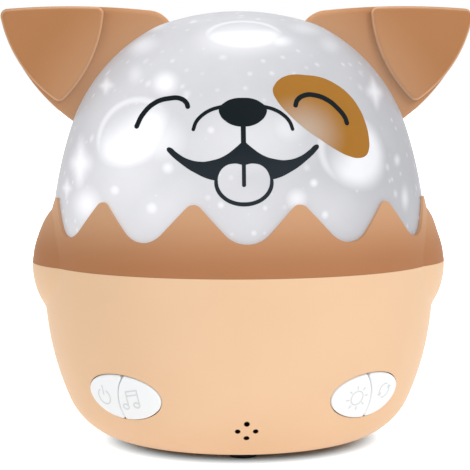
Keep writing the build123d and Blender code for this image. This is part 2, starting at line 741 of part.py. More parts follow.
def make_led_board():
    board = rod(LED_BOARD_RADIUS, LAMP_POST_TOP_Z, LAMP_POST_TOP_Z + BOARD_THICK)
    for x in (-LED_SCREW_X, LED_SCREW_X):
        board = board - rod(PILOT_HOLE, LAMP_POST_TOP_Z - 1, LAMP_POST_TOP_Z + 3, x, 0)
    return board


def make_led_emitter():
    low = LAMP_POST_TOP_Z + BOARD_THICK
    body = Pos(0, 0, low) * Box(*LED_BODY, align=FROM_BELOW)
    lens_z = low + LED_BODY[2]
    lens = Pos(0, 0, lens_z) * Sphere(LED_LENS_RADIUS) & half_space(lens_z - 0.2, lens_z + 8)
    return body + lens


def make_led_screws():
    top = LAMP_POST_TOP_Z + BOARD_THICK
    flipped = Rot(180, 0, 0) * screw(1.7, 1.2, 0.8, 5.5)
    return Compound(children=[Pos(x, 0, top) * flipped for x in (-LED_SCREW_X, LED_SCREW_X)])


def make_main_board():
    board = Pos(*BOARD_CENTRE, BOARD_TOP_Z) * Box(*BOARD_SIZE, BOARD_THICK, align=FROM_ABOVE)
    board = fillet(board.edges().filter_by(Axis.Z), 2.0)
    for x, y in board_hole_places():
        board = board - rod(FREE_HOLE, 0, 100, x, y)
    return board


def make_board_parts():
    """Chips, connectors and capacitors under the main board."""
    low = BOARD_TOP_Z - BOARD_THICK
    x, y = BOARD_CENTRE
    parts = [
        Pos(x - 8, y + 1, low) * Box(10, 6, 1.6, align=FROM_ABOVE),
        Pos(x + 8, y + 4, low) * Box(5, 5, 1.4, align=FROM_ABOVE),
        Pos(x + 15, y - 3, low) * Box(7, 5, 5, align=FROM_ABOVE),
        Pos(x - 18, y - 4, low) * Box(5, 9, 5, align=FROM_ABOVE),
        Pos(x + 2, y - 8, low) * Box(10, 5, 5, align=FROM_ABOVE),
        Pos(x - 18, y + 6, low) * Cylinder(3.0, 7, align=FROM_ABOVE),
        Pos(x + 15, y + 5, low) * Cylinder(2.5, 6, align=FROM_ABOVE),
    ]
    return Compound(children=parts)


def make_board_screws():
    low = BOARD_TOP_Z - BOARD_THICK
    return Compound(children=[Pos(x, y, low) * screw(2.2, 1.4, 1.0, 5.5) for x, y in board_hole_places()])


def make_speaker():
    """Basket, paper cone and magnet, on the seat behind the sound holes."""
    seat = SPEAKER_SEAT
    place = sound_plane().location
    basket_face = make_face(Polyline(
        (9.6, seat), (SPEAKER_RADIUS, seat), (SPEAKER_RADIUS, seat - 1), (10.2, seat - 1), (7.4, seat - 4),
        (0, seat - 4), (0, seat - 3.4), (6.9, seat - 3.4), (9.6, seat - 0.6), close=True))
    basket = revolve(Plane.XZ * basket_face, axis=Axis.Z)
    cone_face = make_face(Polyline(
        (9.3, seat - 0.2), (9.3, seat - 0.6), (4.0, seat - 2.8), (0, seat - 2.2), (0, seat - 1.8),
        (4.0, seat - 2.4), (9.0, seat - 0.2), close=True))
    cone = revolve(Plane.XZ * cone_face, axis=Axis.Z)
    magnet = rod(6.5, seat - 7.5, seat - 4)
    magnet = fillet(magnet.edges(), 0.4)
    return place * basket, place * cone, place * magnet


def make_speaker_screws():
    screws = []
    for x in (-SPEAKER_SCREW_X, SPEAKER_SCREW_X):
        screws.append(sound_plane().location * Pos(x, 0, SPEAKER_SEAT - 1) * screw(2.7, 1.3, 0.8, 3.8))
    return Compound(children=screws)


def make_battery_pad():
    floor = UNDERSIDE_Z + BASE_WALL
    return Pos(*BATTERY_CENTRE, floor) * Box(*PAD_SIZE, align=FROM_BELOW)


def make_battery_pack():
    low = UNDERSIDE_Z + BASE_WALL + PAD_SIZE[2]
    pack = Pos(*BATTERY_CENTRE, low) * Box(*BATTERY_SIZE, align=FROM_BELOW)
    return fillet(pack.edges().filter_by(Axis.X), BATTERY_ROUND)


def make_charge_port():
    """Socket shell open at the back, closed at the front, with its contact tongue."""
    front = PORT_MOUTH_Y - PORT_DEPTH
    shell = port_prism(0, front, PORT_MOUTH_Y) - port_prism(-0.35, front + 1.2, PORT_MOUTH_Y + 5)
    tongue = Pos(0, front + 0.6, PORT_Z) * Box(6.6, 5.2, 0.7, align=(Align.CENTER, Align.MIN, Align.CENTER))
    return shell + tongue


def make_charge_board():
    top = PORT_Z - PORT_SIZE[1] / 2
    board = Pos(0, CHARGE_BOARD_Y, top) * Box(*CHARGE_BOARD_SIZE, align=(Align.CENTER, Align.MIN, Align.MAX))
    for x in (-CHARGE_SCREW_X, CHARGE_SCREW_X):
        board = board - rod(PILOT_HOLE, 0, 60, x, CHARGE_SCREW_Y)
    return board


def make_charge_screws():
    top = PORT_Z - PORT_SIZE[1] / 2
    flipped = Rot(180, 0, 0) * screw(1.0, 0.8, 0.8, 5.0)
    places = [Pos(x, CHARGE_SCREW_Y, top) for x in (-CHARGE_SCREW_X, CHARGE_SCREW_X)]
    return Compound(children=[place * flipped for place in places])


def build():
    head = head_solid()
    dome_space = dome_solid(-FIT_GAP)
    nodes = {}
    nodes["base_shell"] = make_base_shell(head)
    nodes["collar"] = make_collar(head, dome_space)
    nodes["dome"] = make_dome()
    nodes["ear_left"] = make_ear(-1, dome_space)
    nodes["ear_right"] = make_ear(1, dome_space)
    nodes["ear_screws"] = make_ear_screws()
    nodes["dome_screws"] = make_dome_screws()
    nodes["rubber_feet"] = make_feet()
    nodes["deck"] = make_deck()
    nodes["deck_screws"] = make_deck_screws()
    main_cap, small_cap = make_caps()
    nodes["button_power"] = small_cap
    nodes["button_music"] = main_cap
    nodes["button_light"] = mirror(main_cap, about=Plane.YZ)
    nodes["button_rotate"] = mirror(small_cap, about=Plane.YZ)
    nodes["plunger_power"] = make_plunger(-1, stem_places(-1)[1])
    nodes["plunger_music"] = make_plunger(-1, stem_places(-1)[0])
    nodes["plunger_light"] = make_plunger(1, stem_places(1)[0])
    nodes["plunger_rotate"] = make_plunger(1, stem_places(1)[1])
    for side, name in ((-1, "left"), (1, "right")):
        nodes["switches_" + name] = make_switches(side)
        nodes["switch_board_" + name] = make_switch_board(side)
    nodes["switch_board_screws"] = make_switch_board_screws()
    nodes["film_carrier"] = make_film_carrier()
    nodes["film_dome"] = make_film_dome()
    nodes["drive_pinion"] = make_pinion()
    nodes["motor_shaft"] = make_motor_shaft()
    nodes["motor"] = make_motor()
    nodes["motor_screws"] = make_motor_screws()
    nodes["led_board"] = make_led_board()
    nodes["led_emitter"] = make_led_emitter()
    nodes["led_screws"] = make_led_screws()
    nodes["main_board"] = make_main_board()
    nodes["board_parts"] = make_board_parts()
    nodes["board_screws"] = make_board_screws()
    basket, cone, magnet = make_speaker()
    nodes["speaker_basket"] = basket
    nodes["speaker_cone"] = cone
    nodes["speaker_magnet"] = magnet
    nodes["speaker_screws"] = make_speaker_screws()
    nodes["battery_pad"] = make_battery_pad()
    nodes["battery_pack"] = make_battery_pack()
    nodes["charge_port"] = make_charge_port()
    nodes["charge_board"] = make_charge_board()
    nodes["charge_screws"] = make_charge_screws()
    return nodes


def main():
    os.makedirs("parts", exist_ok=True)
    for name, shape in build().items():
        export_step(shape, "parts/" + name + ".step")


if __name__ == "__main__":
    main()
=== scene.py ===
"""Puppy night light: its finishes, collar, face print, button signs, floor, light and camera.

Places and sizes are millimetres in the part's own frame, front towards -Y, and turns are degrees, unless a
comment says otherwise. Colours are linear red, green and blue.
"""

import contextlib
import math

import bpy
from mathutils import Matrix, Vector


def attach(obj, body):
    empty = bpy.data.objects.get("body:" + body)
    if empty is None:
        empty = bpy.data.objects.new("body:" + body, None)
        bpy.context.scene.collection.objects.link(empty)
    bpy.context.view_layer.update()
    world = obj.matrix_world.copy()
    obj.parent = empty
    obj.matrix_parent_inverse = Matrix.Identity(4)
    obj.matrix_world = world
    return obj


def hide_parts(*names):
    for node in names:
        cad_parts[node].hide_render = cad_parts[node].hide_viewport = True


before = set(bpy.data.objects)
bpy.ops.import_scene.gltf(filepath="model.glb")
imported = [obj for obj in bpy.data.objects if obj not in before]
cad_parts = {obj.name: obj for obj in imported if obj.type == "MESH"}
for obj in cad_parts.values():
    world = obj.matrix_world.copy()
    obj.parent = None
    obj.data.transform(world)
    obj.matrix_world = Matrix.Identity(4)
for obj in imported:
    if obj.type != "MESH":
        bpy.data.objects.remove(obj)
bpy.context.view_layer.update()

MM = 0.001
RISE = (0, 1)
FALL = (1, 0)
BLACK = (0.0, 0.0, 0.0)
WHITE = (1.0, 1.0, 1.0)

# Camera: where the eye stands and how it looks, taken from the photograph
EYE_DISTANCE = 545.0
EYE_HEIGHT = 109.5
EYE_TURN = 2.4
EYE_YAW = 0.11
EYE_ROLL = 0.15
EYE_PITCH = 4.5
LENS = 130.2
SENSOR = 36.0

# How finely lines and rounds are drawn
LINE_STEPS = 10
OVAL_STEPS = 64
TURN_STEPS = 240
ARC_STEPS = 12
VALLEY_STEPS = 8
# How near points weld, how far a cutter stands past what it cuts, and the turns that are still shaded smooth
WELD = 0.001
SKIN_WELD = 0.0005
OVERSHOOT = 1.0
PRINT_SMOOTH = 30
COLLAR_SMOOTH = 20

# Face print: half outlines are measured from the middle of the face, which sits a little left of the axis
FACE_X = -0.8
INK_LIFT = 0.10
PATCH_LIFT = 0.06
EYE_STROKE = 1.4
MUZZLE_STROKE = 1.05
LIP_STROKE = 1.45
TONGUE_STROKE = 1.15
EYE_LEFT = [(-31.75, 102.2), (-30.0, 105.6), (-26.3, 109.1), (-22.05, 110.4), (-18.75, 110.3),
            (-17.05, 108.95), (-16.75, 108.0)]
EYE_RIGHT = [(14.7, 108.3), (15.3, 109.8), (17.6, 111.2), (20.7, 111.2), (24.5, 109.8), (27.5, 107.4),
             (29.7, 104.7), (30.3, 103.0)]
NOSE_Z = 106.3
NOSE_HALF = [(0, 4.2), (3.0, 3.9), (5.2, 2.9), (6.9, 1.1), (6.6, -0.8), (5.0, -2.6), (2.6, -3.8), (0, -4.1)]
MUZZLE_HALF = [(6.3, 107.9), (9.3, 107.0), (11.9, 105.4), (13.6, 103.5), (14.4, 101.4)]
MOUTH_HALF = [(0, 98.3), (1.9, 96.55), (5.9, 93.75), (9.4, 92.65), (12.3, 92.35), (16.4, 93.3), (19.3, 95.1),
              (21.1, 96.5), (22.0, 96.4), (22.1, 95.7), (21.6, 95.0), (18.7, 92.35), (14.1, 89.2), (8.6, 87.0)]
MOUTH_TILT = 0.016
TONGUE_Z = 86.1
TONGUE_OUTSIDE = (8.55, 6.7)
TONGUE_HALF = [(0, 91.0), (0.7, 91.3), (3.1, 91.6), (5.55, 90.75), (7.25, 88.45), (7.5, 86.3), (7.0, 84.35),
               (5.55, 82.45), (3.2, 81.1), (0, 80.6)]
TONGUE_LINE = [(0, 92.5), (0, 85.5)]
LIP_LINE = [(0, 103.0), (0, 96.4)]
EYE_PATCH = [(8.1, 112.7), (8.8, 114.4), (10.1, 115.8), (12.0, 116.8), (14.3, 117.3), (17.8, 117.2),
             (22.9, 116.5), (27.3, 114.6), (31.2, 111.7), (34.3, 107.7), (36.35, 103.0), (37.3, 98.1),
             (37.1, 95.1), (36.1, 93.4), (33.8, 92.7), (30.4, 93.4), (26.9, 95.1), (22.0, 98.2), (17.0, 101.7),
             (12.4, 105.9), (9.3, 109.6)]
PRINT_FRONT_Y = -75.0
PRINT_BACK_Y = -25.0
# Faces of the dome that take the print: how far forward and how high they lie, and how far they face forward
PRINT_ZONE_Y = -20
PRINT_ZONE_Z = (74, 124)
PRINT_ZONE_FACING = -0.15

# Collar: radius and height up its outside, its bore for the dome, its flange and its cheeks
COLLAR_TOP = 79.8
COLLAR_OUTSIDE = [(61.8, 58.75), (61.4, 65.0), (60.6, 72.0), (59.4, COLLAR_TOP)]
COLLAR_BORE = [(60.1, 60.8), (60.0, 65.0), (59.55, 72.0), (58.6, COLLAR_TOP), (58.1, 82.0)]
CHEEK_OUTSIDE = [(39.98, 58.75), (39.2, 63.6), (37.6, 68.6), (35.9, 73.6), (32.6, COLLAR_TOP)]
CHEEK_AXIS = 26.0
FLANGE_BORE = [(54.0, 57.0), (54.0, 62.0)]
FLANGE_HOLE = [(1.3, 57.0), (1.3, 62.0)]
FLANGE_HOLE_CIRCLE = 57.0
FLANGE_HOLE_TURNS = (30, 150, 270)
# The cut of its points
POINT_COUNT = 12
POINT_ROUND = 2.7
VALLEY_ROUND = 8.8
VALLEY_Z = 68.5
VALLEY_CUT_Y = (-90.0, -30.0)
VALLEY_CUT_RISE = 5.0

# Button signs, on each oval's own axes: across and up from its middle, the left oval's first
SIGN_LIFT = 0.10
SIGN_STROKE = 0.40
SIGN_DEPTH = 5.0
SIGN_FACING = 0.9
OVAL_MIDDLE = (36.56, -43.72, 21.8)
OVAL_TURN = 39.9
OVAL_TILT = 19.24
POWER_CENTRE = (-7.2, -0.4)
POWER_RADIUS = 2.5
POWER_GAP = 35
POWER_BAR = (0.7, 3.6)
NOTE_LINES = [[(2.2, 2.3), (6.4, 3.1)], [(2.2, 0.9), (6.4, 1.7)], [(2.2, 2.3), (2.2, -2.7)],
              [(6.4, 3.1), (6.4, -1.9)]]
NOTE_HEADS = [(1.15, -2.7), (5.35, -1.9)]
NOTE_HEAD_HALF = (1.05, 0.85)
SUN_CENTRE = (-4.6, -0.2)
SUN_RADIUS = 2.25
SUN_RAY = (3.1, 3.9)
SUN_RAY_TURNS = range(10, 360, 45)
LOOP_CENTRE = (7.0, 0.8)
LOOP_RADIUS = 2.3
LOOP_TURNS = [(75, 205), (-105, 25)]
ARROW_SIZE = 0.95
ARROW_TIP = 25
ARROW_HEEL = 8

# Moulded finishes: colour, the colour it drifts to, roughness, and what differs from the usual look
MOULDED_USUAL = {"grain": 0.5, "depth": 0.004, "drift": 30.0, "gloss": 0.14}
MOULDED = {
    "peach_plastic": ((0.865, 0.588, 0.375), (0.84, 0.565, 0.353), 0.45, {"gloss": 0.06}),
    "collar_plastic": ((0.455, 0.203, 0.093), (0.44, 0.195, 0.089), 0.5, {"gloss": 0.03}),
    "brown_plastic": ((0.46, 0.211, 0.09), (0.44, 0.20, 0.083), 0.5, {"gloss": 0.06}),
    "white_button": ((0.94, 0.965, 0.985), (0.92, 0.95, 0.97), 0.4, {}),
    "button_sign": ((0.75, 0.77, 0.78), (0.71, 0.73, 0.74), 0.45, {}),
    "face_ink": ((0.006, 0.010, 0.0125), (0.008, 0.013, 0.016), 0.5,
                 {"grain": 0.3, "depth": 0.003, "gloss": 0.06}),
    "white_plastic": ((0.80, 0.80, 0.78), (0.77, 0.77, 0.75), 0.45, {}),
    "black_plastic": ((0.025, 0.025, 0.026), (0.035, 0.035, 0.036), 0.5, {}),
    "black_rubber": ((0.016, 0.016, 0.016), (0.025, 0.024, 0.023), 0.75, {"grain": 0.2}),
    "gear_plastic": ((0.72, 0.70, 0.64), (0.68, 0.66, 0.6), 0.35, {}),
    "light_board": ((0.82, 0.82, 0.82), (0.78, 0.78, 0.79), 0.3, {}),
    "lamp_lens": ((0.92, 0.82, 0.42), (0.95, 0.88, 0.55), 0.15, {}),
    "paper_cone": ((0.03, 0.03, 0.031), (0.05, 0.05, 0.05), 0.85, {"grain": 0.25, "depth": 0.03, "drift": 2.0}),
    "magnet_iron": ((0.10, 0.10, 0.105), (0.14, 0.14, 0.145), 0.6, {"grain": 0.2}),
    "foam_pad": ((0.20, 0.20, 0.205), (0.27, 0.27, 0.275), 0.9, {"grain": 0.4, "depth": 0.08, "drift": 1.0}),
    "cell_wrap": ((0.05, 0.16, 0.42), (0.06, 0.18, 0.46), 0.3, {"grain": 2.0, "depth": 0.03}),
}
CLOUD = (0.3, 0.7)
GRAIN_ROUGHNESS = 0.06

# Metal finishes: colour, the colour it drifts to, roughness; size and detail of the drift and of the scratches
PLATED = {
    "plated_steel": ((0.62, 0.62, 0.64), (0.5, 0.5, 0.52), 0.3),
    "motor_can": ((0.56, 0.56, 0.58), (0.46, 0.46, 0.48), 0.38),
}
PLATED_DRIFT = (3.0, 4.0)
SCRATCHES = (0.2, 4.0)
SCRATCH_SPAN = (0.2, 0.8)
SCRATCH_ROUGHNESS = 0.1
PLATED_GRAIN = (0.3, 0.002)

# Circuit boards: size of the pattern of tracks, their share of it, and the colours
TRACK_SIZE = 6.0
TRACK_WIDTH = 0.03
BOARD_COLOURS = {"Color1": (0.016, 0.15, 0.06), "Color2": (0.018, 0.17, 0.07), "Mortar": (0.06, 0.30, 0.12)}
BOARD_ROUGHNESS = (0.3, 0.42)
BOARD_GRAIN = (0.6, 0.004)

# Painted light on the other pieces: a glow up the collar, a glow on the ears beside the dome, and a highlight on
# the rounded edges of their flaps
COLLAR_GLOW_Z = (60.0, 80.0)
COLLAR_GLOW = (0.19, 0.165, 0.115)
DOME_SHINE = ((0.0, -5.0, 85.0), 50.0, 78.0)
EAR_GLOW = (0.15, 0.125, 0.095)
FLAP_HIGHLIGHT_START_Y = (0.4, 0.7)
FLAP_HIGHLIGHT_END_Y = (1.1, 1.7)
FLAP_HIGHLIGHT_COLOUR = (0.62, 0.35, 0.20)

# Middles of the sound holes' walls, the distances over which painted shade darkens them, and the colour of that
# painted shade
SOUND_HOLES = [(0, -53.5, 15.9), (0, -50.8, 11.4), (-2.6, -52.2, 13.6), (2.6, -52.2, 13.6)]
SOUND_HOLE_PAINTED_SHADE = (1.3, 1.5)
SOUND_HOLE_SHADOW_COLOUR = (0.012, 0.006, 0.004)

# Face ink, painted paler down towards the mouth to stand in for the lamp's light behind it
INK_BACKLIGHT_Z = (104.0, 88.0)
INK_BACKLIGHT = (0.019, 0.026, 0.033)

# Eye patch: its two colours, and where the film's light is painted on it as a paler colour, as a place with half
# width and half height
PATCH_COLOURS = ((0.395, 0.172, 0.025), (0.375, 0.162, 0.023))
PATCH_DRIFT = 9.0
PATCH_GLOSS = 0.1
PATCH_ROUGHNESS = (0.4, 0.5)
PATCH_GRAIN = (0.3, 0.003)
PATCH_GLOW = ((16.5, -49.5, 100.2), (17.0, 14.0))
PATCH_GLOW_SPAN = (0.05, 0.95)
PATCH_PAINTED_LIGHT = (0.51, 0.38, 0.285)

# Dome: its two milky colours, and the lamp's haze, with painted shade that dims it from left to right and towards
# its sides
DOME_COLOURS = ((0.385, 0.387, 0.415), (0.425, 0.428, 0.455))
DOME_DRIFT = (14.0, 3.0)
DOME_ROUGHNESS = 0.4
DOME_GLOSS = 0.12
DOME_GRAIN = (1.2, 0.004)
HAZE_X = (-55.0, 55.0)
HAZE_ACROSS = (0.41, 0.075)
HAZE_Y = (4.0, 42.0)
HAZE_AHEAD = (0.32, 1.0)
LAMP_COLOUR = (1.0, 1.0, 1.02)

# Light that the lamp throws on the dome through the film, and its strength
LAMP = (0.0, 0.0, 70.0)
FILM_SHINE = 0.36
# Small dots: density and radius, as seen from the lamp, and strength
DOTS = [(7.0, 0.22), (13.0, 0.25)]
DOT_SHINE = 0.42
# Glows: place, half width and half height, strength; the wide ones first
GLOWS = [
    ((0.0, -33.8, 128.3), (20.0, 8.0), 0.6), ((2.0, -58.5, 80.0), (34.0, 20.0), 0.2),
    ((24.0, -54.0, 78.0), (26.0, 14.0), 0.28), ((0.0, -54.3, 98.3), (28.0, 18.0), 0.38),
    ((-22.0, -53.0, 80.0), (24.0, 13.0), 0.25), ((-33.0, -46.0, 90.0), (25.0, 19.0), 0.30),
    ((-25.0, -47.0, 98.0), (13.0, 10.0), 0.7), ((12.0, -51.5, 101.5), (9.0, 8.0), 0.5),
    ((11.0, -33.5, 127.5), (6.0, 3.0), 0.8), ((-30.6, -18.6, 126.8), (8.0, 5.0), 0.55),
    ((-25.8, -7.4, 132.8), (6.0, 3.0), 0.45), ((19.6, -21.5, 131.5), (8.0, 3.0), 0.3),
    ((27.1, -23.9, 126.5), (5.0, 4.0), 0.3), ((-47.0, -35.0, 79.0), (7.5, 7.0), 0.75),
    ((14.5, -56.5, 81.1), (5.0, 5.0), 0.85), ((-32.3, -30.8, 117.7), (3.5, 4.5), 0.3),
    ((-23.3, -40.5, 114.9), (5.4, 5.0), 0.95), ((19.6, -54.0, 85.8), (2.0, 2.0), 0.85),
    ((22.8, -54.3, 76.6), (2.2, 2.4), 0.85), ((5.2, -58.4, 78.9), (1.5, 1.5), 0.6),
    ((1.9, -59.4, 71.8), (1.5, 1.5), 0.6), ((-22.7, -51.7, 90.3), (2.8, 2.8), 0.75),
    ((-27.3, -51.9, 78.7), (3.0, 3.0), 0.75), ((-38.2, -43.5, 83.5), (2.6, 2.6), 0.7),
    ((46.9, -30.9, 91.6), (1.8, 2.6), 0.6), ((49.3, -31.5, 80.1), (2.2, 5.4), 0.6),
    ((-7.5, -58.0, 79.8), (1.8, 1.8), 0.7), ((-10.1, -52.5, 101.2), (2.2, 2.2), 0.7),
]
GLOW_DEPTH = 16.0
# Stars: place, half width and half height, strength; thickness of the arms and size of the core, as shares
STARS = [
    ((-41.3, -22.4, 114.4), (3.8, 4.0), 0.75), ((40.6, -26.3, 112.2), (4.8, 7.5), 0.9),
    ((-49.2, -27.3, 90.9), (6.5, 11.0), 1.0), ((-53.6, -22.1, 83.1), (2.8, 4.2), 0.7),
]
STAR_ARM = 0.45
STAR_CORE = 0.7
# Moons: place, half width and half height, the way to the dark side
MOONS = [
    ((-33.9, -41.8, 100.2), (13.4, 10.6), (-0.66, 0.0, 0.75)),
    ((32.8, -45.2, 94.8), (12.4, 10.8), (-0.8, 0.0, 0.5)),
    ((0.5, -31.8, 129.6), (11.3, 5.4), (-0.1, 0.5, 0.85)),
]
# Where a moon's light fades towards the dark side and at its edge, and where its thin rim starts, ends and
# brightens, as shares of its half size
MOON_SHADE = (-0.2, 0.65)
MOON_EDGE = (0.65, 1.22)
MOON_RIM_START = (0.8, 0.97)
MOON_RIM_END = (0.98, 1.14)
MOON_RIM_SIDE = (-0.5, 0.4)
MOON_RIM_LIGHT = (0.1, 0.5)

# Star film: density, radius and clear share of its dots, its dark and its clear colour, and its light
FILM_DOTS = [(7.0, 0.09, 0.7), (13.0, 0.1, 0.6)]
FILM_COLOURS = ((0.012, 0.016, 0.045), (0.8, 0.8, 0.75))
FILM_LIGHT = ((0.0, 0.0, 0.004), (0.9, 0.88, 0.8))
FILM_ROUGHNESS = 0.18
FILM_GRAIN = (6.0, 0.01)

# Floor: its contact shadow lies under the part, a little wider than deep; added light, tinted cool where it fades
# in, paints the shadow's soft edge and makes the floor beyond plain white
FLOOR_METRES = 40
FLOOR_COLOURS = ((0.89, 0.90, 0.91), (0.91, 0.92, 0.93))
FLOOR_DRIFT = 80.0
FLOOR_ROUGHNESS = 0.9
FLOOR_GLOSS = 0.1
SHADOW_EDGE_LIGHT_TINT = (0.6, 1.0, 1.25)
FLOOR_LIFT = (0.26, 1.0)
SHADOW_CENTRE = (1.5, 5.0, 0.0)
SHADOW_NARROW = 0.92
SHADOW_FADE = (32.0, 48.0)

# Studio: light of the surroundings on the part and as the eye sees it; lamps with place, width and watts
SKY_LIGHT = (0.62, 1.0)
LIGHTS = [
    ("key", (420, -620, 520), 420, 1.95),
    ("fill", (-620, -480, 300), 500, 0.45),
    ("top", (0, 60, 700), 500, 0.5),
    ("over_dome", (0, -10, 215), 60, 0.03),
]
LIGHT_TARGET = (0, 0, 70)


def metres(values):
    return [value * MM for value in values]


def polar(centre, radius, turn):
    """Point at a distance and a turn from a centre."""
    aim = math.radians(turn)
    return centre[0] + radius * math.cos(aim), centre[1] + radius * math.sin(aim)


def deselect():
    bpy.ops.object.select_all(action="DESELECT")


def activate(piece):
    deselect()
    piece.select_set(True)
    bpy.context.view_layer.objects.active = piece


@contextlib.contextmanager
def editing(piece):
    """Edit mode, with all of the piece selected."""
    activate(piece)
    bpy.ops.object.mode_set(mode="EDIT")
    bpy.ops.mesh.select_all(action="SELECT")
    yield
    bpy.ops.object.mode_set(mode="OBJECT")


def apply_modifier(piece, kind, **settings):
    activate(piece)
    modifier = piece.modifiers.new(kind.lower(), kind)
    for name, value in settings.items():
        setattr(modifier, name, value)
    bpy.ops.object.modifier_apply(modifier=modifier.name)


def place_in_mesh(piece):
    activate(piece)
    bpy.ops.object.transform_apply(location=True, rotation=True, scale=True)


def remove(*pieces):
    for piece in pieces:
        bpy.data.objects.remove(piece, do_unlink=True)


def combine(first, operation, *others):
    for other in others:
        apply_modifier(first, "BOOLEAN", operation=operation, solver="MANIFOLD", object=other)
        remove(other)
    return first


def smooth_shade(piece, limit):
    activate(piece)
    bpy.ops.object.shade_smooth_by_angle(angle=math.radians(limit))


def wear(mesh, finish):
    mesh.materials.clear()
    mesh.materials.append(finish)


# Shapes, drawn across and up, then pulled into prisms or turned into solids

def drawn_line(points, closed=False, corners=()):
    """Smooth line through the points, as a mesh of edges in the plane of X and Z."""
    deselect()
    bpy.ops.curve.primitive_bezier_curve_add()
    line = bpy.context.object
    spline = line.data.splines[0]
    spline.bezier_points.add(len(points) - 2)
    for number, (spot, (across, up)) in enumerate(zip(spline.bezier_points, points)):
        kind = "VECTOR" if number in corners else "AUTO"
        spot.handle_left_type = kind
        spot.handle_right_type = kind
        spot.co = (across * MM, 0, up * MM)
    spline.use_cyclic_u = closed
    line.data.resolution_u = LINE_STEPS
    bpy.ops.object.convert(target="MESH")
    return bpy.context.object


def pull(piece, depth):
    """Draws all of a flat shape out along Y by the depth."""
    with editing(piece):
        bpy.ops.mesh.extrude_region_move(TRANSFORM_OT_translate={"value": (0, depth * MM, 0)})


def mend(piece):
    """Merges doubles and turns the faces outwards."""
    with editing(piece):
        bpy.ops.mesh.remove_doubles(threshold=WELD * MM)
        bpy.ops.mesh.normals_make_consistent(inside=False)


def stroke_prism(points, width, front, back):
    """Prism of a pen stroke with round ends."""
    stroke = drawn_line(points)
    stroke.location.y = front * MM
    place_in_mesh(stroke)
    pull(stroke, back - front)
    apply_modifier(stroke, "SOLIDIFY", thickness=width * MM, offset=0.0, use_even_offset=True)
    mend(stroke)
    ends = [oval_prism(point, (width / 2, width / 2), front, back) for point in (points[0], points[-1])]
    return combine(stroke, "UNION", *ends)


def filled_prism(points, front, back, corners=()):
    """Prism of a closed outline."""
    shape = drawn_line(points, closed=True, corners=corners)
    shape.location.y = front * MM
    place_in_mesh(shape)
    with editing(shape):
        bpy.ops.mesh.remove_doubles(threshold=WELD * MM)
        bpy.ops.mesh.edge_face_add()
    pull(shape, back - front)
    mend(shape)
    return shape


def oval_prism(centre, half, front, back):
    """Prism of an oval."""
    deselect()
    bpy.ops.mesh.primitive_circle_add(vertices=OVAL_STEPS, radius=1, fill_type="NGON")
    shape = bpy.context.object
    shape.scale = (half[0] * MM, half[1] * MM, 1)
    shape.rotation_euler = (math.radians(90), 0, 0)
    shape.location = (centre[0] * MM, front * MM, centre[1] * MM)
    place_in_mesh(shape)
    pull(shape, back - front)
    mend(shape)
    return shape


def turned(outline, x=0.0, y=0.0):
    """Solid of revolution: the outline's radii and heights, closed on an upright axis at the place."""
    count = len(outline)
    closed = [(0, outline[0][1]), *outline, (0, outline[-1][1])]
    solid = drawn_line(closed, corners=(0, 1, count, count + 1))
    with editing(solid):
        bpy.ops.mesh.spin(steps=TURN_STEPS, angle=math.tau, center=(0, 0, 0), axis=(0, 0, 1))
    solid.location = (x * MM, y * MM, 0)
    place_in_mesh(solid)
    mend(solid)
    return solid


# Prints: thin skins over the CAD pieces, trimmed by prisms

def skin_over(node_name, keeps, lift):
    """Closed film over the kept faces of a CAD piece, standing proud by the lift."""
    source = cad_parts[node_name]
    skin = bpy.data.objects.new(node_name + "_skin", source.data.copy())
    skin.data.materials.clear()
    bpy.context.collection.objects.link(skin)
    with editing(skin):
        bpy.ops.mesh.remove_doubles(threshold=SKIN_WELD * MM)
        bpy.ops.mesh.select_all(action="DESELECT")
        bpy.ops.mesh.select_mode(type="FACE")
    for face in skin.data.polygons:
        face.select = not keeps(face)
    bpy.ops.object.mode_set(mode="EDIT")
    bpy.ops.mesh.delete(type="FACE")
    bpy.ops.mesh.select_mode(type="VERT")
    bpy.ops.object.mode_set(mode="OBJECT")
    apply_modifier(skin, "SOLIDIFY", thickness=2 * lift * MM, offset=0.0)
    return skin


def printed(name, skin, prism, finish, body):
    """A print: the part of the skin that lies within the prism."""
    piece = skin.copy()
    piece.data = skin.data.copy()
    piece.name = name
    bpy.context.collection.objects.link(piece)
    combine(piece, "INTERSECT", prism)
    smooth_shade(piece, PRINT_SMOOTH)
    piece.data.name = name
    wear(piece.data, finish)
    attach(piece, body)


# Steps that the finishes are made of

def inside(finish):
    """Node tree and surface of a finish."""
    return finish.node_tree, finish.node_tree.nodes["Principled BSDF"]


def new_finish(name):
    finish = bpy.data.materials.new(name)
    finish.use_nodes = True
    return finish, *inside(finish)


def add(tree, kind, **settings):
    node = tree.nodes.new(kind)
    for name, value in settings.items():
        setattr(node, name, value)
    return node


def wire(tree, source, target):
    tree.links.new(source, target)


def places(tree):
    return add(tree, "ShaderNodeTexCoord").outputs["Object"]


def noise(tree, size, detail=2.0):
    """Cloudy value from 0 to 1 with patches of about the size."""
    node = add(tree, "ShaderNodeTexNoise")
    node.inputs["Scale"].default_value = 1 / (size * MM)
    node.inputs["Detail"].default_value = detail
    wire(tree, places(tree), node.inputs["Vector"])
    return node.outputs["Fac"]


def stretch(tree, value, span, change, smooth=False):
    """Value that goes through the change, from its first to its second number, over a span of another value."""
    node = add(tree, "ShaderNodeMapRange", interpolation_type="SMOOTHSTEP" if smooth else "LINEAR")
    wire(tree, value, node.inputs["Value"])
    for name, number in zip(("From Min", "From Max", "To Min", "To Max"), (*span, *change)):
        node.inputs[name].default_value = number
    return node.outputs["Result"]


def blend(tree, share, first, second):
    """Mix of two colours; each is a colour or a socket."""
    node = add(tree, "ShaderNodeMix", data_type="RGBA")
    wire(tree, share, node.inputs[0])
    for socket, colour in ((node.inputs[6], first), (node.inputs[7], second)):
        if isinstance(colour, tuple):
            socket.default_value = (*colour, 1)
        else:
            wire(tree, colour, socket)
    return node.outputs[2]


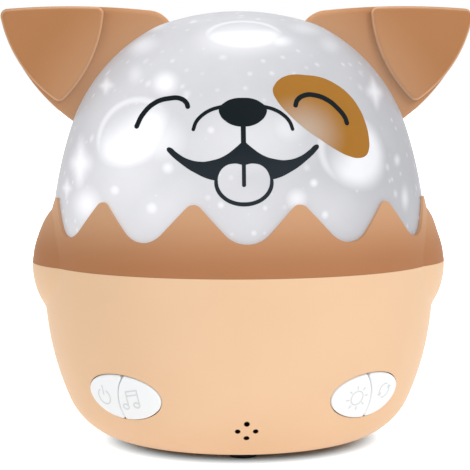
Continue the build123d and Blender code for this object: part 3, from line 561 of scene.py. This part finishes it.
def arithmetic(tree, operation, first, second):
    node = add(tree, "ShaderNodeMath", operation=operation)
    for socket, value in zip(node.inputs, (first, second)):
        if isinstance(value, (int, float)):
            socket.default_value = value
        else:
            wire(tree, value, socket)
    return node.outputs[0]


def times(tree, first, second):
    return arithmetic(tree, "MULTIPLY", first, second)


def larger(tree, first, second):
    return arithmetic(tree, "MAXIMUM", first, second)


def separate(tree, axis):
    """One coordinate of the place, in metres."""
    node = add(tree, "ShaderNodeSeparateXYZ")
    wire(tree, places(tree), node.inputs[0])
    return node.outputs[axis]


def along(tree, axis, span, change, smooth=False):
    """Value that goes through the change over a span of one coordinate."""
    return stretch(tree, separate(tree, axis), metres(span), change, smooth)


def from_place(tree, place):
    node = add(tree, "ShaderNodeVectorMath", operation="SUBTRACT")
    wire(tree, places(tree), node.inputs[0])
    node.inputs[1].default_value = metres(place)
    return node.outputs[0]


def scaled_from(tree, place, half):
    """Offset from a place, in parts of the half sizes along X, Y and Z."""
    node = add(tree, "ShaderNodeVectorMath", operation="MULTIPLY")
    wire(tree, from_place(tree, place), node.inputs[0])
    node.inputs[1].default_value = [1 / (size * MM) for size in half]
    return node.outputs[0]


def length_of(tree, offset):
    node = add(tree, "ShaderNodeVectorMath", operation="LENGTH")
    wire(tree, offset, node.inputs[0])
    return node.outputs["Value"]


def near(tree, place, inner, outer):
    """1 within the inner distance of a place, fading to 0 at the outer."""
    return stretch(tree, length_of(tree, from_place(tree, place)), metres((inner, outer)), FALL, smooth=True)


def seen_by(tree, *rays):
    """1 for light paths of any of the kinds."""
    path = add(tree, "ShaderNodeLightPath")
    seen = 0.0
    for ray in rays:
        seen = larger(tree, seen, path.outputs[ray])
    return seen


def rough_skin(tree, shader, size, depth):
    """Fine moulded grain, as bumps of the size and depth."""
    node = add(tree, "ShaderNodeBump")
    node.inputs["Distance"].default_value = depth * MM
    node.inputs["Strength"].default_value = 1.0
    wire(tree, noise(tree, size), node.inputs["Height"])
    wire(tree, node.outputs["Normal"], shader.inputs["Normal"])


def tint(tree, shader, share, colour):
    """Turns the surface's colour towards another by a share."""
    socket = shader.inputs["Base Color"]
    wire(tree, blend(tree, share, socket.links[0].from_socket, colour), socket)


def shine(tree, shader, share, dim, bright):
    """Light that comes from the surface itself, from dim to bright by a share."""
    wire(tree, blend(tree, share, dim, bright), shader.inputs["Emission Color"])
    shader.inputs["Emission Strength"].default_value = 1.0


# Light that the film throws on the dome

def dots(tree, density, radius, clear=0.0):
    """Dots as seen from the lamp: denser with density, each fading out from its clear share to the radius."""
    direction = add(tree, "ShaderNodeVectorMath", operation="NORMALIZE")
    wire(tree, from_place(tree, LAMP), direction.inputs[0])
    cells = add(tree, "ShaderNodeTexVoronoi", feature="F1")
    cells.inputs["Scale"].default_value = density
    wire(tree, direction.outputs[0], cells.inputs["Vector"])
    return stretch(tree, cells.outputs["Distance"], (radius * clear, radius), FALL, smooth=True)


def glow(tree, place, half):
    """1 at a place, fading to 0 over an oval of the half sizes across and up."""
    reach = length_of(tree, scaled_from(tree, place, (half[0], GLOW_DEPTH, half[1])))
    return stretch(tree, reach, RISE, FALL, smooth=True)


def star(tree, place, half):
    """Soft star with four arms."""
    upright = glow(tree, place, (STAR_ARM * half[0], half[1]))
    level = glow(tree, place, (half[0], STAR_ARM * half[1]))
    core = glow(tree, place, [STAR_CORE * size for size in half])
    return larger(tree, core, larger(tree, upright, level))


def moon(tree, place, half, dark_side):
    """Disc that darkens towards one side, where a thin soft rim closes it."""
    offset = scaled_from(tree, place, (half[0], half[0], half[1]))
    reach = length_of(tree, offset)
    towards = add(tree, "ShaderNodeVectorMath", operation="DOT_PRODUCT")
    wire(tree, offset, towards.inputs[0])
    towards.inputs[1].default_value = dark_side
    aside = towards.outputs["Value"]
    disc = times(tree, stretch(tree, reach, MOON_EDGE, FALL, smooth=True),
                 stretch(tree, aside, MOON_SHADE, FALL, smooth=True))
    rim = times(tree, stretch(tree, reach, MOON_RIM_START, RISE, smooth=True),
                stretch(tree, reach, MOON_RIM_END, FALL, smooth=True))
    rim = times(tree, rim, stretch(tree, aside, MOON_RIM_SIDE, MOON_RIM_LIGHT))
    return larger(tree, disc, rim)


def film_light(tree):
    """All the light that the film throws: small soft dots all round, glows, stars and moons."""
    light = times(tree, larger(tree, *[dots(tree, *look) for look in DOTS]), DOT_SHINE)
    for shape, group in ((glow, GLOWS), (star, STARS)):
        for place, half, strength in group:
            light = larger(tree, light, times(tree, shape(tree, place, half), strength))
    for look in MOONS:
        light = larger(tree, light, moon(tree, *look))
    return light


# Finishes

def moulded(name):
    """Moulded plastic: slow drift of colour, fine grain in the gloss and the skin."""
    colour, shade, roughness, own = MOULDED[name]
    look = {**MOULDED_USUAL, **own}
    finish, tree, shader = new_finish(name)
    shader.inputs["Specular IOR Level"].default_value = look["gloss"]
    drift = stretch(tree, noise(tree, look["drift"]), CLOUD, RISE)
    wire(tree, blend(tree, drift, colour, shade), shader.inputs["Base Color"])
    change = (roughness - GRAIN_ROUGHNESS, roughness + GRAIN_ROUGHNESS)
    wire(tree, stretch(tree, noise(tree, look["grain"]), RISE, change), shader.inputs["Roughness"])
    rough_skin(tree, shader, look["grain"], look["depth"])
    return finish


def plated(name):
    """Plated or drawn metal with fine scratches."""
    colour, shade, roughness = PLATED[name]
    finish, tree, shader = new_finish(name)
    shader.inputs["Metallic"].default_value = 1.0
    wire(tree, blend(tree, noise(tree, *PLATED_DRIFT), colour, shade), shader.inputs["Base Color"])
    change = (roughness - SCRATCH_ROUGHNESS, roughness + SCRATCH_ROUGHNESS)
    wire(tree, stretch(tree, noise(tree, *SCRATCHES), SCRATCH_SPAN, change), shader.inputs["Roughness"])
    rough_skin(tree, shader, *PLATED_GRAIN)
    return finish


def diffuser_finish():
    """Milky dome, lit from inside through the star film, with painted shade dimming it at its sides and on its
    right.
    """
    finish, tree, shader = new_finish("milky_diffuser")
    drift = stretch(tree, noise(tree, *DOME_DRIFT), CLOUD, RISE)
    wire(tree, blend(tree, drift, *DOME_COLOURS), shader.inputs["Base Color"])
    shader.inputs["Roughness"].default_value = DOME_ROUGHNESS
    shader.inputs["Specular IOR Level"].default_value = DOME_GLOSS
    # Painted shade: the haze dims towards the dome's sides and its right
    ahead = arithmetic(tree, "ABSOLUTE", separate(tree, "Y"), 0)
    ahead = stretch(tree, ahead, metres(HAZE_Y), HAZE_AHEAD, smooth=True)
    haze = times(tree, along(tree, "X", HAZE_X, HAZE_ACROSS), ahead)
    light = arithmetic(tree, "ADD", haze, times(tree, film_light(tree), FILM_SHINE))
    shine(tree, shader, light, BLACK, LAMP_COLOUR)
    rough_skin(tree, shader, *DOME_GRAIN)
    return finish


def collar_finish():
    """Brown plastic with a painted glow of the lamp's light, growing up towards its points."""
    finish = moulded("collar_plastic")
    tree, shader = inside(finish)
    # Painted glow, rising up the collar
    shine(tree, shader, along(tree, "Z", COLLAR_GLOW_Z, RISE, smooth=True), BLACK, COLLAR_GLOW)
    return finish


def base_finish():
    """Peach plastic, with painted shade darkening the sound holes' walls."""
    finish = moulded("peach_plastic")
    tree, shader = inside(finish)
    # Painted shade in the sound holes
    shade = 0.0
    for place in SOUND_HOLES:
        shade = larger(tree, shade, near(tree, place, *SOUND_HOLE_PAINTED_SHADE))
    tint(tree, shader, shade, SOUND_HOLE_SHADOW_COLOUR)
    return finish


def ear_finish():
    """Brown plastic, with a painted highlight on the flaps' rounded edges and a painted glow of the dome's light
    beside it.
    """
    finish = moulded("brown_plastic")
    tree, shader = inside(finish)
    # Painted highlight along the flaps' rounded edges
    edge = times(tree, along(tree, "Y", FLAP_HIGHLIGHT_START_Y, RISE), along(tree, "Y", FLAP_HIGHLIGHT_END_Y, FALL))
    tint(tree, shader, edge, FLAP_HIGHLIGHT_COLOUR)
    # Painted glow of the dome's light on the ears beside it
    shine(tree, shader, near(tree, *DOME_SHINE), BLACK, EAR_GLOW)
    return finish


def film_finish():
    """Dark star film with clear dots, lit from inside."""
    finish, tree, shader = new_finish("star_film")
    stars = larger(tree, *[dots(tree, *look) for look in FILM_DOTS])
    wire(tree, blend(tree, stars, *FILM_COLOURS), shader.inputs["Base Color"])
    shine(tree, shader, stars, *FILM_LIGHT)
    shader.inputs["Roughness"].default_value = FILM_ROUGHNESS
    rough_skin(tree, shader, *FILM_GRAIN)
    return finish


def ink_finish():
    """Black face ink with a faint print texture, painted paler towards the mouth as if lit from behind."""
    finish = moulded("face_ink")
    tree, shader = inside(finish)
    # Painted light: the ink pales towards the mouth
    tint(tree, shader, along(tree, "Z", INK_BACKLIGHT_Z, RISE, smooth=True), INK_BACKLIGHT)
    return finish


def patch_finish():
    """Ochre eye patch, painted paler where the film's light shines through it."""
    finish, tree, shader = new_finish("patch_ink")
    shader.inputs["Specular IOR Level"].default_value = PATCH_GLOSS
    ochre = blend(tree, stretch(tree, noise(tree, PATCH_DRIFT), CLOUD, RISE), *PATCH_COLOURS)
    wire(tree, ochre, shader.inputs["Base Color"])
    # Painted light from the film, paling the patch
    tint(tree, shader, stretch(tree, glow(tree, *PATCH_GLOW), PATCH_GLOW_SPAN, RISE), PATCH_PAINTED_LIGHT)
    wire(tree, stretch(tree, noise(tree, PATCH_GRAIN[0]), RISE, PATCH_ROUGHNESS), shader.inputs["Roughness"])
    rough_skin(tree, shader, *PATCH_GRAIN)
    return finish


def board_finish():
    """Green circuit board with paler tracks."""
    finish, tree, shader = new_finish("circuit_board")
    tracks = add(tree, "ShaderNodeTexBrick")
    tracks.inputs["Scale"].default_value = 1 / (TRACK_SIZE * MM)
    tracks.inputs["Mortar Size"].default_value = TRACK_WIDTH
    for name, colour in BOARD_COLOURS.items():
        tracks.inputs[name].default_value = (*colour, 1)
    wire(tree, places(tree), tracks.inputs["Vector"])
    wire(tree, tracks.outputs["Color"], shader.inputs["Base Color"])
    wire(tree, stretch(tree, noise(tree, BOARD_GRAIN[0]), RISE, BOARD_ROUGHNESS), shader.inputs["Roughness"])
    rough_skin(tree, shader, *BOARD_GRAIN)
    return finish


def dress_nodes():
    """Gives every CAD piece its finish."""
    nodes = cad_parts
    screws = [name for name in nodes if name.endswith("_screws")]
    plungers = [name for name in nodes if name.startswith("plunger_")]
    finishes = {
        base_finish(): ["base_shell"],
        collar_finish(): ["collar"],
        ear_finish(): ["ear_left", "ear_right"],
        diffuser_finish(): ["dome"],
        moulded("white_button"): ["button_power", "button_music", "button_light", "button_rotate"],
        moulded("black_rubber"): ["rubber_feet"],
        moulded("white_plastic"): ["deck", "film_carrier"],
        moulded("gear_plastic"): ["drive_pinion"],
        film_finish(): ["film_dome"],
        plated("plated_steel"): ["motor_shaft", "speaker_basket", "charge_port", *screws],
        plated("motor_can"): ["motor"],
        moulded("light_board"): ["led_board"],
        moulded("lamp_lens"): ["led_emitter"],
        board_finish(): ["main_board", "switch_board_left", "switch_board_right", "charge_board"],
        moulded("black_plastic"): ["board_parts", "switches_left", "switches_right", *plungers],
        moulded("paper_cone"): ["speaker_cone"],
        moulded("magnet_iron"): ["speaker_magnet"],
        moulded("foam_pad"): ["battery_pad"],
        moulded("cell_wrap"): ["battery_pack"],
    }
    for finish, names in finishes.items():
        for name in names:
            wear(nodes[name].data, finish)


# Collar

def valley_prism(turn):
    """Prism that cuts one valley between two points of the collar, at a turn round the axis."""
    half = COLLAR_OUTSIDE[-1][0] * math.sin(math.pi / POINT_COUNT)
    rest = COLLAR_TOP - VALLEY_Z - POINT_ROUND - VALLEY_ROUND
    slope = math.asin((POINT_ROUND + VALLEY_ROUND) / math.hypot(half, rest)) + math.atan2(rest, half)
    leans = [slope * step / VALLEY_STEPS for step in range(VALLEY_STEPS + 1)]
    valley = [(VALLEY_ROUND * math.sin(lean), VALLEY_Z + VALLEY_ROUND * (1 - math.cos(lean))) for lean in leans]
    point = [(half - POINT_ROUND * math.sin(lean), COLLAR_TOP - POINT_ROUND * (1 - math.cos(lean)))
             for lean in reversed(leans)]
    right = [*valley, *point, (half, COLLAR_TOP + VALLEY_CUT_RISE)]
    left = [(-across, up) for across, up in reversed(right[1:])]
    count = len(right)
    prism = filled_prism(right + left, *VALLEY_CUT_Y, corners=(count - 2, count - 1, count, count + 1))
    prism.rotation_euler = (0, 0, turn)
    place_in_mesh(prism)
    return prism


def make_collar():
    """Collar: a turned band with two cheeks, hollow for the dome, its upper edge cut to rounded points."""
    collar = turned(COLLAR_OUTSIDE)
    combine(collar, "UNION", *[turned(CHEEK_OUTSIDE, x=side * CHEEK_AXIS) for side in (-1, 1)])
    combine(collar, "DIFFERENCE", turned(COLLAR_BORE), turned(FLANGE_BORE))
    for turn in FLANGE_HOLE_TURNS:
        combine(collar, "DIFFERENCE", turned(FLANGE_HOLE, *polar((0, 0), FLANGE_HOLE_CIRCLE, turn)))
    for number in range(POINT_COUNT):
        combine(collar, "DIFFERENCE", valley_prism(math.tau * number / POINT_COUNT))
    smooth_shade(collar, COLLAR_SMOOTH)
    collar.name = "collar_band"
    collar.data.name = "collar_band"
    wear(collar.data, bpy.data.materials["collar_plastic"])
    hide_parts("collar")
    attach(collar, "cover")


# Face print

def mirrored(points):
    """Whole outline from the half on the right, about the middle of the face."""
    left = [(-across, up) for across, up in reversed(points) if across > 0]
    return [(across + FACE_X, up) for across, up in points + left]


def face_stroke(points, width, side=1):
    moved = [(side * across + FACE_X, up) for across, up in points]
    return stroke_prism(moved, width, PRINT_FRONT_Y, PRINT_BACK_Y)


def takes_print(face):
    centre = face.center / MM
    ahead = centre.y < PRINT_ZONE_Y and face.normal.y < PRINT_ZONE_FACING
    return ahead and PRINT_ZONE_Z[0] < centre.z < PRINT_ZONE_Z[1]


def make_face():
    """Face print on the dome: eyes, eye patch, and the muzzle with its mouth and tongue."""
    ink = ink_finish()
    skin = skin_over("dome", takes_print, INK_LIFT)
    under = skin_over("dome", takes_print, PATCH_LIFT)
    span = (PRINT_FRONT_Y, PRINT_BACK_Y)
    printed("eye_left_print", skin, stroke_prism(EYE_LEFT, EYE_STROKE, *span), ink, "cover")
    printed("eye_right_print", skin, stroke_prism(EYE_RIGHT, EYE_STROKE, *span), ink, "cover")
    printed("eye_patch_print", under, filled_prism(EYE_PATCH, *span), patch_finish(), "cover")

    mouth = [(across, up + MOUTH_TILT * across) for across, up in mirrored(MOUTH_HALF)]
    muzzle = filled_prism(mouth, *span, corners=(0,))
    combine(muzzle, "UNION", oval_prism((FACE_X, TONGUE_Z), TONGUE_OUTSIDE, *span))
    tongue = filled_prism(mirrored(TONGUE_HALF), PRINT_FRONT_Y - OVERSHOOT, PRINT_BACK_Y + OVERSHOOT)
    combine(muzzle, "DIFFERENCE", tongue)
    nose = filled_prism([(across, up + NOSE_Z) for across, up in mirrored(NOSE_HALF)], *span)
    strokes = [face_stroke(MUZZLE_HALF, MUZZLE_STROKE, side) for side in (-1, 1)]
    strokes.append(face_stroke(LIP_LINE, LIP_STROKE))
    strokes.append(face_stroke(TONGUE_LINE, TONGUE_STROKE))
    combine(muzzle, "UNION", nose, *strokes)
    printed("muzzle_print", skin, muzzle, ink, "cover")
    remove(skin, under)


# Button signs, each a prism on its oval's own axes

def sign_stroke(points):
    return stroke_prism(points, SIGN_STROKE, -SIGN_DEPTH, SIGN_DEPTH)


def sign_ring(centre, half):
    outside, inner = [[size + step * SIGN_STROKE / 2 for size in half] for step in (1, -1)]
    hole = oval_prism(centre, inner, -SIGN_DEPTH - OVERSHOOT, SIGN_DEPTH + OVERSHOOT)
    return combine(oval_prism(centre, outside, -SIGN_DEPTH, SIGN_DEPTH), "DIFFERENCE", hole)


def sign_arc(centre, radius, first, last):
    turns = [first + (last - first) * step / ARC_STEPS for step in range(ARC_STEPS + 1)]
    return sign_stroke([polar(centre, radius, turn) for turn in turns])


def power_sign():
    ring = sign_arc(POWER_CENTRE, POWER_RADIUS, 90 + POWER_GAP, 450 - POWER_GAP)
    bar = sign_stroke([(POWER_CENTRE[0], POWER_CENTRE[1] + up) for up in POWER_BAR])
    return combine(ring, "UNION", bar)


def music_sign():
    first, *others = [sign_stroke(line) for line in NOTE_LINES]
    return combine(first, "UNION", *others, *[sign_ring(place, NOTE_HEAD_HALF) for place in NOTE_HEADS])


def light_sign():
    sun = sign_ring(SUN_CENTRE, (SUN_RADIUS, SUN_RADIUS))
    rays = [sign_stroke([polar(SUN_CENTRE, reach, turn) for reach in SUN_RAY]) for turn in SUN_RAY_TURNS]
    return combine(sun, "UNION", *rays)


def rotate_sign():
    loops = []
    for first, last in LOOP_TURNS:
        head = [polar(LOOP_CENTRE, LOOP_RADIUS, last + ARROW_TIP)]
        for reach in (LOOP_RADIUS - ARROW_SIZE, LOOP_RADIUS + ARROW_SIZE):
            head.append(polar(LOOP_CENTRE, reach, last - ARROW_HEEL))
        loop = sign_arc(LOOP_CENTRE, LOOP_RADIUS, first, last)
        loops.append(combine(loop, "UNION", filled_prism(head, -SIGN_DEPTH, SIGN_DEPTH, corners=range(3))))
    return combine(loops[0], "UNION", loops[1])


def make_signs():
    """Raised signs on the four button caps."""
    finish = moulded("button_sign")
    turn = math.radians(OVAL_TURN)
    tilt = math.radians(OVAL_TILT)
    left = {"power": power_sign, "music": music_sign}
    right = {"rotate": rotate_sign, "light": light_sign}
    for side, signs in ((-1, left), (1, right)):
        across = Vector((math.cos(turn), side * math.sin(turn), 0))
        level = Vector((side * math.sin(turn), -math.cos(turn), 0))
        outward = level * math.cos(tilt) - Vector((0, 0, math.sin(tilt)))
        axes = Matrix((across, -outward, outward.cross(across))).transposed().to_4x4()
        middle = Vector((side * OVAL_MIDDLE[0], *OVAL_MIDDLE[1:])) * MM
        for name, sign in signs.items():
            prism = sign()
            prism.matrix_world = Matrix.Translation(middle) @ axes
            place_in_mesh(prism)
            skin = skin_over("button_" + name, lambda face: face.normal.dot(outward) > SIGN_FACING, SIGN_LIFT)
            printed("sign_" + name, skin, prism, finish, "button_" + name)
            remove(skin)


# Studio

def make_floor():
    """White floor, which keeps the part's shadow close round its foot; added white light, tinted cool where it
    fades in, paints the shadow's soft edge.
    """
    deselect()
    bpy.ops.mesh.primitive_plane_add(size=FLOOR_METRES)
    floor = bpy.context.object
    floor.name = "floor"
    finish, tree, shader = new_finish("white_floor")
    shader.inputs["Roughness"].default_value = FLOOR_ROUGHNESS
    shader.inputs["Specular IOR Level"].default_value = FLOOR_GLOSS
    wire(tree, blend(tree, noise(tree, FLOOR_DRIFT), *FLOOR_COLOURS), shader.inputs["Base Color"])
    reach = length_of(tree, scaled_from(tree, SHADOW_CENTRE, (1 / SHADOW_NARROW, 1, 1)))
    clear = stretch(tree, reach, SHADOW_FADE, RISE, smooth=True)
    lift = add(tree, "ShaderNodeEmission")
    # Painted light: the added white is tinted cool where it fades into the shadow
    wire(tree, blend(tree, clear, SHADOW_EDGE_LIGHT_TINT, WHITE), lift.inputs["Color"])
    strength = stretch(tree, seen_by(tree, "Is Camera Ray", "Is Glossy Ray"), RISE, FLOOR_LIFT)
    wire(tree, times(tree, strength, clear), lift.inputs["Strength"])
    total = add(tree, "ShaderNodeAddShader")
    wire(tree, shader.outputs[0], total.inputs[0])
    wire(tree, lift.outputs[0], total.inputs[1])
    wire(tree, total.outputs[0], tree.nodes["Material Output"].inputs["Surface"])
    floor.data.materials.append(finish)


def make_light(name, place, size, power):
    data = bpy.data.lights.new(name, "AREA")
    data.shape = "DISK"
    data.size = size * MM
    data.energy = power
    lamp = bpy.data.objects.new(name, data)
    bpy.context.collection.objects.link(lamp)
    lamp.location = Vector(place) * MM
    lamp.rotation_euler = ((Vector(place) - Vector(LIGHT_TARGET)) * MM).to_track_quat("Z", "Y").to_euler()


def make_world():
    """White surroundings, plain white to the eye and softer on the part."""
    world = bpy.data.worlds.new("studio")
    bpy.context.scene.world = world
    world.use_nodes = True
    tree = world.node_tree
    sky = tree.nodes["Background"]
    seen = seen_by(tree, "Is Camera Ray", "Is Glossy Ray", "Is Transmission Ray")
    sky.inputs["Color"].default_value = (*WHITE, 1)
    wire(tree, stretch(tree, seen, RISE, SKY_LIGHT), sky.inputs["Strength"])


def make_camera():
    data = bpy.data.cameras.new("camera")
    data.lens = LENS
    data.sensor_width = SENSOR
    camera = bpy.data.objects.new("camera", data)
    bpy.context.collection.objects.link(camera)
    turn = math.radians(EYE_TURN)
    camera.location = Vector((-EYE_DISTANCE * math.sin(turn), -EYE_DISTANCE * math.cos(turn), EYE_HEIGHT)) * MM
    camera.rotation_euler = [math.radians(value) for value in (90 - EYE_PITCH, EYE_ROLL, EYE_YAW - EYE_TURN)]
    bpy.context.scene.camera = camera


dress_nodes()
make_collar()
make_face()
make_signs()
make_floor()
make_world()
for light in LIGHTS:
    make_light(*light)
make_camera()
bpy.context.scene.view_settings.view_transform = "Standard"
